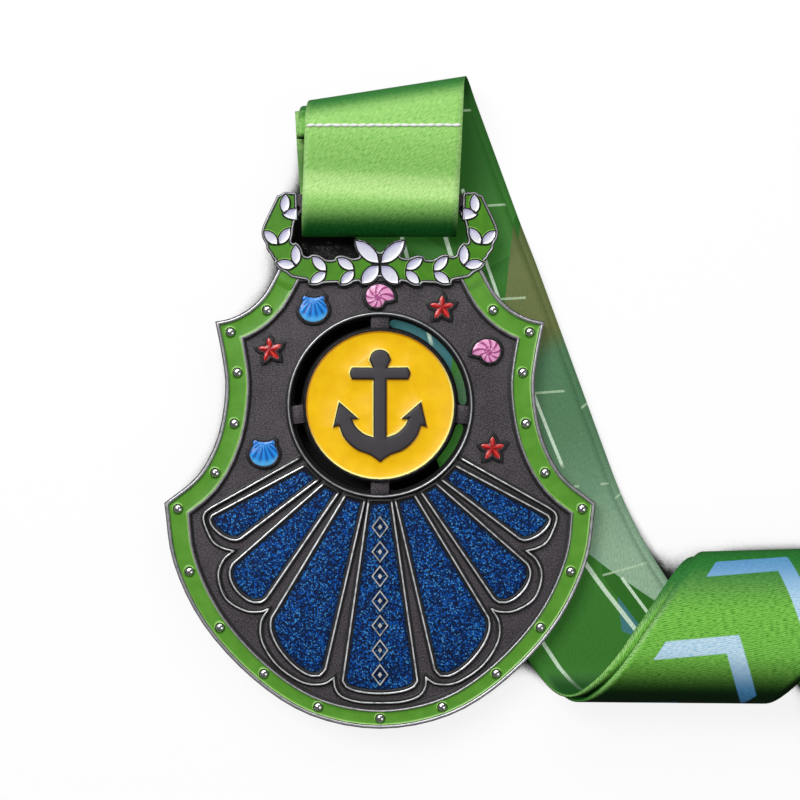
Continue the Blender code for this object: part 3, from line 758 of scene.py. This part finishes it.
def dress_border():
    # Painted light and shade where the green climbs its walls and the studs: pale towards the upper left,
    # dark where it leans away.
    green = finish("green_enamel", enamel_look("5E9C32", "54922A", "A6DC72", "3C761A", 3.03 * MM, 3.14 * MM))
    border, *holes = outlines("border_enamel")
    border, corners = run_on(border, UNDER_WREATH)
    border = refined(border, 0.9 * MM)
    shape = poured([border], POOL_PROFILE)
    places = [sum(hole, Vector((0.0, 0.0))) / len(hole) for hole in holes]
    collar = in_mm((0.0, 3.3), (0.08, 3.14), (0.2, 3.05), (0.4, 3.01))
    for place in places:
        swept(shape, circle(place, STUD_RADIUS * 0.9, 24), collar)
    shown("border_fill", facing_up(shape), green, "medal", ["border_enamel"])
    tips = [point + way * UNDER_WREATH for point, way in corners]
    stops = sorted(min(range(len(border)), key=lambda index: (border[index] - tip).length) for tip in tips)
    chains = [[*range(one, two + 1)] for one, two in zip(stops, stops[1:])]
    chains.append([*range(stops[-1], len(border)), *range(stops[0] + 1)])
    inner, outer = sorted(chains, key=len)[-2:]
    for name, chain, profile in (("border_rim", outer, RIM_PROFILE), ("border_line", inner, INNER_PROFILE)):
        ridge = bmesh.new()
        swept(ridge, border, profile, chain)
        shown(name, facing_up(ridge), RIM, "medal")
    ends = bmesh.new()
    for side in (-1.0, 1.0):
        pair = [corner for corner in corners if corner[0].x * side > 0]
        rows = [
            [(*(point + way * reach * MM), height * MM) for point, way in pair] for reach, height in END_ROWS
        ]
        verts = [ends.verts.new(place) for place in rows[0]]
        edges = [ends.edges.new(verts)]
        for row in rows[1:]:
            verts, edges = next_row(ends, verts, edges)
            for vert, place in zip(verts, row):
                vert.co = place
    plain = finish("green_ends", enamel_look("5E9C32", "54922A", "5E9C32", "54922A", 4.0 * MM, 5.0 * MM))
    shown("border_ends", facing_up(ends), plain, "medal")
    domes = bmesh.new()
    for place in places:
        spot = Matrix.Translation((*place, FIELD_LEVEL))
        bmesh.ops.create_uvsphere(domes, u_segments=24, v_segments=14, radius=STUD_RADIUS, matrix=spot)
    shown("border_studs", domes, finish("stud_silver", stud_look), "medal")


def dress_fan():
    glitter = finish("navy_glitter", glitter_look)
    for index in range(1, 8):
        names = f"petal_fill_{index}", f"petal_enamel_{index}"
        loops = pool(*names, glitter, "navy_enamel", PETAL_PROFILE, step=0.8 * MM)
        shown(f"petal_line_{index}", bands(loops[:1], LINE_PROFILE), LINE, "medal")
    line = band(scallop_path(), 0.5 * MM)
    line = line if loop_area(line) > 0 else line[::-1]
    profile = in_mm((0.05, 2.6), (0.03, 3.3), (-0.06, 3.5), (-0.2, 3.56))
    shown("scallop_line", poured([line], profile), LINE, "medal")
    marks = bmesh.new()
    frame_profile = in_mm((0.2, 2.9), (0.19, 3.44), (0.1, 3.56), (-0.1, 3.56), (-0.19, 3.44), (-0.2, 2.9))
    half, tall = LOZENGE_HALF
    for index in range(LOZENGES):
        middle = Vector((0.0, LOZENGE_FIRST - LOZENGE_PITCH * index))
        corners = ((half, 0.0), (0.0, tall), (-half, 0.0), (0.0, -tall))
        swept(marks, [middle + Vector(corner) for corner in corners], frame_profile)
        place = Matrix.Translation((*middle, 3.2 * MM)) @ Matrix.Diagonal((1.0, 1.3, 1.0, 1.0))
        cone = {"segments": 4, "radius1": 0.66 * MM, "radius2": 0.42 * MM, "depth": 0.72 * MM}
        bmesh.ops.create_cone(marks, cap_ends=True, matrix=place, **cone)
    shown("petal_lozenges", facing_up(marks), LINE, "medal", smooth=20.0)


def dress_disc():
    # Painted light and shade where the yellow climbs its walls and the anchor: pale towards the upper left,
    # orange where it leans away.
    look = enamel_look("FCC800", "F5BE00", "FFF58C", "D89400", 3.03 * MM, 3.15 * MM)
    yellow = finish("yellow_enamel", look)
    profile = in_mm((0.12, 2.5), (0.1, 3.3), (0.0, 3.22), (-0.18, 3.12), (-0.4, 3.02))
    loops = pool("disc_fill", "disc_enamel", yellow, "yellow_enamel", profile)
    profile = in_mm((0.06, 2.6), (0.04, 3.42), (-0.06, 3.52), (-0.25, 3.58), (-0.5, 3.6))
    emblem = finish("emblem_metal", emblem_look)
    shown("anchor_relief", poured([loops[1][::-1]], profile), emblem, "medal")
    centre = Vector((0.0, 0.0))
    profile = in_mm((0.6, 2.5), (0.56, 3.3), (0.44, 3.48), (0.28, 3.52), (0.1, 3.45), (0.02, 3.2), (0.0, 2.4))
    rim = bands([circle(centre, DISC_RADIUS - 0.5 * MM, 128)], profile)
    shown("disc_rim", rim, BLACKENED, "medal")
    profile = in_mm(
        (0.8, 2.5), (0.78, 3.3), (0.7, 3.44), (0.6, 3.45), (0.52, 3.53),
        (0.36, 3.53), (0.28, 3.45), (0.1, 3.44), (0.02, 3.2), (0.0, 2.4),
    )
    ring = bands([circle(centre, DISC_RADIUS + CHANNEL_WIDTH - 0.1 * MM, 160)], profile)
    shown("ring_line", ring, RING, "medal")
    blocks = bmesh.new()
    for angle in BRIDGE_ANGLES:
        turn = Matrix.Rotation(math.radians(angle), 4, "Z")
        place = Matrix.Translation((DISC_RADIUS + CHANNEL_WIDTH / 2, 0.0, 1.9 * MM))
        size = Matrix.Diagonal((CHANNEL_WIDTH + 0.2 * MM, BRIDGE_WIDTH, 1.0 * MM, 1.0))
        bmesh.ops.create_cube(blocks, size=1.0, matrix=turn @ place @ size)
    rounding = {"offset": 0.12 * MM, "offset_type": "OFFSET", "segments": 2}
    bmesh.ops.bevel(blocks, geom=blocks.edges[:], affect="EDGES", profile=0.5, material=-1, **rounding)
    shown("ring_bridges", blocks, CASTING, "medal")


def dress_ornaments():
    kinds = (
        ("scallop", 2, "blue_enamel", lambda index: shell_look("1E90EC", "58B8F6", "0F58AC", 17.0)),
        ("snail", 2, "pink_enamel", lambda index: snail_look(1.0 if index == 1 else -1.0)),
        ("starfish", 3, "red_enamel", lambda index: starfish_look),
    )
    profile = in_mm((0.2, 2.8), (0.18, 3.3), (0.1, 3.42), (-0.1, 3.46), (-0.35, 3.52))
    edge = in_mm((0.5, 2.6), (0.49, 3.2), (0.42, 3.44), (0.32, 3.48), (0.22, 3.44), (0.15, 3.2))
    for kind, count, slot, look in kinds:
        for index in range(1, count + 1):
            made = finish(f"{kind}_enamel_{index}", look(index), uv=True)
            names = f"{kind}_fill_{index}", f"{kind}_enamel_{index}"
            loops = pool(*names, made, slot, profile, step=0.35 * MM, uv=True)
            shown(f"{kind}_edge_{index}", bands(loops[:1], edge), BLACKENED, "medal")


def dress_wreath():
    white = finish("white_enamel", leaf_look)
    # Painted light and shade on the collars round the leaves: pale glints where they lean to the upper left,
    # darker where they lean away.
    green = finish("wreath_green", enamel_look("4C8C14", "3F7C10", "8CCC48", "2A5E0A", 3.728 * MM, 3.77 * MM))
    leaf = in_mm((0.06, 3.4), (0.05, 3.88), (-0.04, 3.88), (-0.16, 3.82), (-0.3, 3.79))
    edge = in_mm((0.34, 3.6), (0.32, 3.84), (0.25, 3.91), (0.14, 3.92), (0.04, 3.88), (-0.02, 3.74))
    collar = in_mm((0.3, 3.81), (0.36, 3.77), (0.46, 3.725))
    ground = in_mm((-0.2, 3.6), (-0.22, 3.72), (-0.28, 3.72))
    line = in_mm(
        (0.1, 2.0), (0.1, 3.5), (0.06, 3.72), (-0.04, 3.84), (-0.16, 3.88),
        (-0.28, 3.86), (-0.38, 3.76), (-0.5, 3.745), (-0.56, 3.7),
    )
    outline = outlines("medal_plate", WREATH_TOP)[0]
    whole = [point for point in outline if abs(point.x) > NOTCH_X or not NOTCH_FROM < point.y < NOTCH_TO]
    contour = softened(whole, 0.25 * MM, 5)
    cells = sorted(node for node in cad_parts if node.startswith("wreath_"))
    sheet = poured([contour], ground)
    for node in sorted(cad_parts):
        if node.startswith(("leaf_", "flower_")):
            name = node.replace("enamel", "fill")
            spread = 0.16 * MM if node.startswith("flower_") else 0.0
            cut_leaf = HALF_LEAF.get(node)
            form = {"step": 0.3 * MM, "spread": spread, "other": cut_leaf}
            loops = pool(name, node, white, "white_enamel", leaf, **form)
            shown(name.replace("fill", "edge"), bands(loops[:1], edge), BLACKENED, "medal")
            if not spread and not cut_leaf:
                swept(sheet, loops[0], collar)
    shown("wreath_fill", facing_up(sheet), green, "medal", cells)
    shown("wreath_contour", bands([contour], line), CONTOUR, "medal")
    heart = bmesh.new()
    spot = Matrix.Translation((0.0, FLOWER_Y, 3.735 * MM))
    bmesh.ops.create_circle(heart, cap_ends=True, segments=32, radius=FLOWER_HEART, matrix=spot)
    shown("flower_heart", facing_up(heart), FOOT, "medal")


class Strip:
    """A strip that is walked along: straight runs, and bends about lines across it."""

    def __init__(self, along):
        self.place = Vector((0.0, 0.0, 0.0))
        self.along = along
        self.across = Vector((1.0, 0.0, 0.0))
        self.gone = 0.0
        self.lines = []

    def inside(self):
        return self.along.cross(self.across)

    def mark(self, skew=0.0):
        """Notes a line across the strip: middle, line for each unit of width, inner side, length, lead."""
        lead = math.tan(math.radians(skew))
        line = self.across + self.along * lead
        self.lines.append((self.place.copy(), line, self.inside(), self.gone, lead))

    def run(self, length):
        self.place += self.along * length
        self.gone += length

    def steer(self, angle, length):
        steps = math.ceil(abs(angle) / STEER_STEP)
        turn = Matrix.Rotation(math.radians(angle / steps), 3, self.inside())
        for _ in range(steps):
            self.run(length / steps / 2)
            self.along, self.across = turn @ self.along, turn @ self.across
            self.mark()
            self.run(length / steps / 2)

    def bend(self, angle, radius, skew=0.0):
        steps = math.ceil(abs(angle) / BEND_STEP)
        step = angle / steps
        lead = math.radians(skew)
        chord = 2 * radius * math.tan(math.radians(abs(step)) / 2) / math.cos(lead)
        for _ in range(steps):
            self.run(chord / 2)
            line = self.across * math.cos(lead) + self.along * math.sin(lead)
            half = Matrix.Rotation(math.radians(-step / 2), 3, line)
            self.along, self.across = half @ self.along, half @ self.across
            self.mark(skew)
            self.along, self.across = half @ self.along, half @ self.across
            self.run(chord / 2)

    def rise(self, angle, radius, length):
        """Up to another level, and level again."""
        self.bend(angle, radius)
        self.run(length)
        self.bend(-angle, radius)


def walk_ribbon():
    """The outer layer from its sewn tail, round the hanger bar and out to the middle of the neck loop."""
    tilt = math.radians(FRONT_TILT)
    strip = Strip(Vector((0.0, -math.cos(tilt), -math.sin(tilt))))
    strip.mark()
    strip.run(TAIL_END)
    strip.bend(-TAIL_TILT, TAIL_RADIUS)
    strip.run(TAIL_RUN)
    strip.bend(TAIL_TILT + FRONT_TILT, TAIL_RADIUS)
    strip.run(LOOP_FLAT)
    loop = strip.place.copy()
    strip.run(LOOP_BACK)
    for angle, radius in LOOP_BENDS:
        strip.bend(angle, radius, LOOP_SKEW)
    strip.bend(-FRONT_TILT, FRONT_RADIUS)
    strip.run(FRONT_RUN)
    before_seam = len(strip.lines)
    strip.bend(FRONT_TILT, FRONT_RADIUS)
    strip.mark()
    seam = len(strip.lines) - 1
    strip.run(STITCH_TO_FOLD)
    start = Vector((0.0, BAR_Y - LOOP_DROP + LOOP_RADIUS, BAR_Z - LOOP_RADIUS))
    top = strip.place.z - loop.z + start.z
    strip.bend(180.0, (top - TABLE_Z - TABLE_GAP) / 2, FOLD_SKEW)
    strip.run(BACK_START)
    strip.rise(*BACK_RISE)
    strip.run(BACK_RUN)
    strip.steer(STEER, STEER_RUN)
    strip.run(ROLL_START)
    for angle, radius in ROLL_IN:
        strip.bend(angle, radius, ROLL_SKEWS[0])
    strip.run(ROLL_TOP)
    for angle, radius in ROLL_OUT:
        strip.bend(angle, radius, ROLL_SKEWS[1])
    strip.run(EXIT_RUN)
    for fold in range(STACK_FOLDS):
        strip.bend(180.0 if fold % 2 == 0 else -180.0, STACK_RADIUS)
        strip.run(STACK_RUN)
    strip.mark()
    return strip, before_seam, seam, start - loop


def ribbon_lines():
    """Every line across the strip, placed and leaned, and the seam's index."""
    strip, before_seam, seam, move = walk_ribbon()
    lines, reach = strip.lines, strip.gone
    middle, line, inside, gone, lead = lines[-1]
    turn = []
    for angle in (30.0, 60.0, 90.0, 120.0, 150.0):
        spin = Matrix.Rotation(math.radians(-angle), 3, line.normalized())
        place = middle + inside * LAYER_STEP / 2 - spin @ (inside * LAYER_STEP / 2)
        turn.append((place, line, spin @ inside, gone + FAR_TURN * angle / 200, lead))
    back = []
    for middle, line, inside, gone, lead in reversed(lines[before_seam:]):
        place = middle + inside * LAYER_STEP + line * LAYER_SHIFT
        back.append((place, line, -inside, reach * 2 + FAR_TURN - gone, -lead))
    lean = Matrix.Rotation(math.radians(RIBBON_LEAN + 2 * LOOP_SKEW), 3, "Z")
    pivot, spot = Vector((0.0, BAR_Y, 0.0)), Vector((RIBBON_X, BAR_Y, 0.0))
    leaned = [
        (lean @ (middle + move - pivot) + spot, lean @ line, lean @ inside, gone, lead)
        for middle, line, inside, gone, lead in [*lines, *turn, *back]
    ]
    return leaned, seam, reach


def dense(lines):
    """More lines on the long straight runs."""
    full = lines[:1]
    for one, two in zip(lines, lines[1:]):
        steps = max(1, math.ceil((two[0] - one[0]).length / RUN_STEP))
        for step in range(1, steps + 1):
            t = step / steps
            blend = [a + (b - a) * t for a, b in zip(one, two)]
            full.append(tuple(blend))
    return full


def ribbon_look(inner, reach):
    """Printed satin with painted light: bright where it faces the eye, a painted highlight band across the
    front, painted shade where it turns away, and a faint painted glow on its reverse, which is also softer.

    The layers change sides at the far end of the neck loop.
    """

    def look(place):
        across, along = place.axis(0), place.axis(1)
        far = along > reach
        reverse = (1 - far) * (along > TAIL_TO) if inner else far
        # Painted shade: darker where the surface tilts away from the eye, whether it tilts up or down the
        # view.
        nod = place.make("ShaderNodeNewGeometry", {}, output="Normal").axis(1)
        raised = nod.ramp(0.08, 0.8)
        turned = nod.ramp(-0.1, -0.3) * 0.2 + nod.ramp(-0.2, -0.7) * 0.8 + raised * 0.9
        twill = ((across - along) * 11500.0).maths("SINE")
        fleck = place.stretched((1.0, 1.0, 1.0), 45.0).stretched((4600.0, 1100.0, 1.0)).noise(1.0, 2.0)
        weave = twill * 0.25 + (fleck - 0.5) * 2.8
        rolled = along > PRINT_FROM
        # Painted highlight: a bright band across the front strip, just above its loop round the bar.
        painted_gloss = (along - PAINTED_GLOSS_AT).maths("ABSOLUTE").ramp(3.4 * MM, 0.8 * MM) * (1 - far)
        bright = rolled.mix(painted_gloss.mix(linear("A8DC7A"), linear("CCF29E")), linear("86CC54"))
        thread = rolled.mix(painted_gloss.mix(linear("62B244"), linear("90D066")), linear("348A1C"))
        edge = across.maths("ABSOLUTE").ramp(13.8 * MM, 14.0 * MM)
        shaded = raised.mix(rolled.mix(linear("1C6826"), linear("062A08")), linear("1C7434"))
        lit = turned.mix((edge * 0.3).mix(bright, linear("D2F2B4")), shaded)
        dark = raised.mix(rolled.mix(linear("0D4214"), linear("042006")), linear("125A24"))
        green = weave.ramp(0.5, -0.9).mix(lit, turned.mix(thread, dark))
        arrow = ((along + across.maths("ABSOLUTE") * 0.8) * CHEVRONS).maths("FRACT")
        mark = arrow.ramp(0.28, 0.3) * arrow.ramp(0.52, 0.5) * (across.maths("ABSOLUTE") < CHEVRON_HALF)
        # Painted shade on the print where it turns away.
        sky = turned.mix(linear("D4EDF8"), linear("3A80B8"))
        face = (mark * rolled).mix(green, weave.ramp(0.6, -1.2).mix(sky, linear("6FB0DA")))
        facets = place.stretched((52.0, 30.0, 1.0), 38.0).cells(1.0, "Color", distance="MANHATTAN")
        hue, pale, pick = facets.parts()
        ground = hue.mix(linear("225616"), linear("3A722C"))
        ground = (pick > 0.84).mix(ground, linear("5A6834"))
        ground = (pick < 0.07).mix(ground, linear("386870"))
        here = along + far * (along * -2.0 + reach * 2 + FAR_TURN)
        olive_part = (here + across * 2.0 - OLIVE_FROM).ramp(0.0, 0.4 * MM) * (here < OLIVE_TO)
        ground = olive_part.mix(ground, linear("595F38"))
        pale_part = (across * 2.4 + PALE_TO - here).ramp(0.0, 0.4 * MM)
        pale_part = pale_part * here.ramp(PALE_FROM - 6 * MM, PALE_FROM)
        fade = here.ramp(PALE_FROM, PALE_FROM + PALE_FADE)
        pale_print = (fade * fade).mix(linear("46684C"), hue.mix(linear("86A088"), linear("7C9A86")))
        ground = pale_part.mix(ground, pale_print)
        # Painted shadow: the reverse darkens towards its top fold.
        ground = (here.ramp(SHADE_FROM, SHADE_TO) * 0.6).mix(ground, linear("123C14"))
        rung = ((along + across * 0.3) * RUNGS).maths("FRACT")
        rung = rung.ramp(0.0, 0.006) * rung.ramp(0.03, 0.024) * (pale > 0.35)
        ground = (rung * 0.6).mix(ground, linear("A8C0A0"))
        for start, swing, waves, wide in STREAKS:
            near = (across - ((along * waves).maths("SINE") * swing + start)).maths("ABSOLUTE")
            dash = ((along * waves * 0.45).maths("FRACT")).ramp(0.3, 0.32)
            streak = near.ramp(wide * 1.2, wide * 0.8) * dash
            ground = (streak * 0.8).mix(ground, linear("C3D6C2"))
        # Painted shade on the reverse where it turns away.
        back = turned.mix(ground, linear("0C3410"))
        back = (fleck.ramp(0.7, 0.3) * 0.3).mix(back, linear("1C4A18"))
        return {
            "Base Color": reverse.mix(face, back),
            # Painted light: the reverse glows faintly in its own colours, lifting it where the medal shades
            # it.
            "Emission Color": reverse.mix(linear("000000"), back),
            "Emission Strength": 0.55,
            "Roughness": 0.4 + reverse * 0.2,
            "Specular IOR Level": 0.2,
            "Normal": weave.bump(0.35, 0.05 * MM),
        }

    return look


def dress_ribbon():
    lines, seam, reach = ribbon_lines()
    seam_line = lines[seam]
    lines = dense(lines)
    shape = bmesh.new()
    shares = [index / RIBBON_COLUMNS - 0.5 for index in range(RIBBON_COLUMNS + 1)]
    spots = {}

    def settle(verts, entry):
        middle, line, _, gone, lead = entry
        for vert, share in zip(verts, shares):
            offset = share * RIBBON_WIDTH
            vert.co = middle + line * offset
            spots[vert] = Vector((offset, gone + offset * lead))

    verts = [shape.verts.new() for _ in shares]
    edges = [shape.edges.new(pair) for pair in zip(verts, verts[1:])]
    settle(verts, lines[0])
    for entry in lines[1:]:
        verts, edges = next_row(shape, verts, edges)
        settle(verts, entry)
    layer = shape.loops.layers.uv.new("UVMap")
    for face in shape.faces:
        for corner in face.loops:
            corner[layer].uv = spots[corner.vert]
    sides = (("ribbon_inner", True), ("ribbon_outer", False))
    looks = [finish(name, ribbon_look(inner, reach), uv=True) for name, inner in sides]
    piece = shown("satin_ribbon", shape, looks, "neck_ribbon", ["ribbon"], smooth=80.0)
    wall = piece.modifiers.new("cloth", "SOLIDIFY")
    wall.thickness = RIBBON_THICK
    wall.offset = 0.0
    wall.use_even_offset = True
    wall.material_offset = 1
    reach * 2
    return seam_line


def dress_seam(seam_line):
    """White lockstitches close together, along a course that runs level in the view."""
    middle, line, inside, *_ = seam_line
    down = inside.cross(line.normalized())
    course = (line.normalized() - down * math.tan(math.radians(SEAM_SLANT))).normalized()
    turn = Matrix((course, inside.cross(course), inside)).transposed().to_4x4()
    start = middle - down * SEAM_LIFT - inside * (RIBBON_THICK / 2 + 0.1 * MM)
    stitches = bmesh.new()
    count = int(RIBBON_WIDTH / STITCH_PITCH)
    rng = random.Random(4)
    for index in range(count):
        place = start + course * (index - (count - 1) / 2) * STITCH_PITCH
        slant = Matrix.Rotation(math.radians(rng.uniform(-9.0, 5.0)), 4, "Z")
        size = Matrix.Diagonal((rng.uniform(0.84, 0.94) * MM, 0.33 * MM, 0.22 * MM, 1.0))
        spot = Matrix.Translation(place) @ turn @ slant @ size
        bmesh.ops.create_uvsphere(stitches, u_segments=10, v_segments=8, radius=1.0, matrix=spot)
    thread = finish("white_thread", thread_look)
    shown("seam_stitches", stitches, thread, "neck_ribbon", ["seam_thread"])


def softbox(name, place, size, power):
    lamp = bpy.data.lights.new(name, "AREA")
    lamp.shape = "RECTANGLE"
    lamp.size, lamp.size_y = size
    lamp.energy = power
    box = bpy.data.objects.new(name, lamp)
    box.location = place
    box.rotation_euler = (-Vector(place)).to_track_quat("-Z", "Y").to_euler()
    bpy.context.scene.collection.objects.link(box)


def set_stage():
    shape = bmesh.new()
    level = Matrix.Translation((0, 0, TABLE_Z - 0.05 * MM))
    bmesh.ops.create_grid(shape, x_segments=1, y_segments=1, size=TABLE_SIZE, matrix=level)
    mesh = bpy.data.meshes.new("table")
    shape.to_mesh(mesh)
    shape.free()
    made = bpy.data.materials.new("white_table")
    made.use_nodes = True
    tree = made.node_tree
    shader = tree.nodes["Principled BSDF"]
    shader.inputs["Roughness"].default_value = 0.9
    root = Wire(tree)
    # Painted shadow: the table is black where things cover it closely and white elsewhere, by ambient
    # occlusion.
    cover = root.make("ShaderNodeAmbientOcclusion", {"Distance": TABLE_SHADE}, output="AO")
    open_floor = cover.ramp(0.42, 0.56)
    seen = root.make("ShaderNodeLightPath", {}, output="Is Camera Ray")
    floor = seen.mix(linear("3A3A3A"), open_floor.mix(linear("080808"), linear("FFFFFF")))
    tree.links.new(floor.socket, shader.inputs["Base Color"])
    glow = root.make("ShaderNodeEmission", {"Color": (1.0, 1.0, 1.0, 1.0), "Strength": 1.0})
    shares = {0: seen * open_floor * 0.86, 1: Wire(tree, shader.outputs[0]), 2: glow}
    both = root.make("ShaderNodeMixShader", shares)
    tree.links.new(both.socket, tree.nodes["Material Output"].inputs["Surface"])
    mesh.materials.append(made)
    table = bpy.data.objects.new("table", mesh)
    bpy.context.scene.collection.objects.link(table)
    world = bpy.data.worlds.new("studio")
    bpy.context.scene.world = world
    world.use_nodes = True
    world.node_tree.nodes["Background"].inputs["Color"].default_value = (1.0, 1.0, 1.0, 1.0)
    world.node_tree.nodes["Background"].inputs["Strength"].default_value = 0.12
    for lamp in SOFTBOXES:
        softbox(*lamp)
    camera = bpy.data.cameras.new("camera")
    camera.sensor_width = SENSOR
    camera.lens = SENSOR * VIEW_DISTANCE / VIEW_WIDTH
    camera.clip_start = 0.01
    eye = bpy.data.objects.new("camera", camera)
    eye.location = (VIEW_X, VIEW_Y, PLATE_TOP + VIEW_DISTANCE)
    bpy.context.scene.collection.objects.link(eye)
    bpy.context.scene.camera = eye
    bpy.context.scene.view_settings.view_transform = "Standard"


def dress_casting():
    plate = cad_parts["medal_plate"]
    plate.data.materials.clear()
    plate.data.materials.append(CASTING)


dress_casting()
dress_field()
dress_border()
dress_fan()
dress_disc()
dress_ornaments()
dress_wreath()
dress_seam(dress_ribbon())
set_stage()
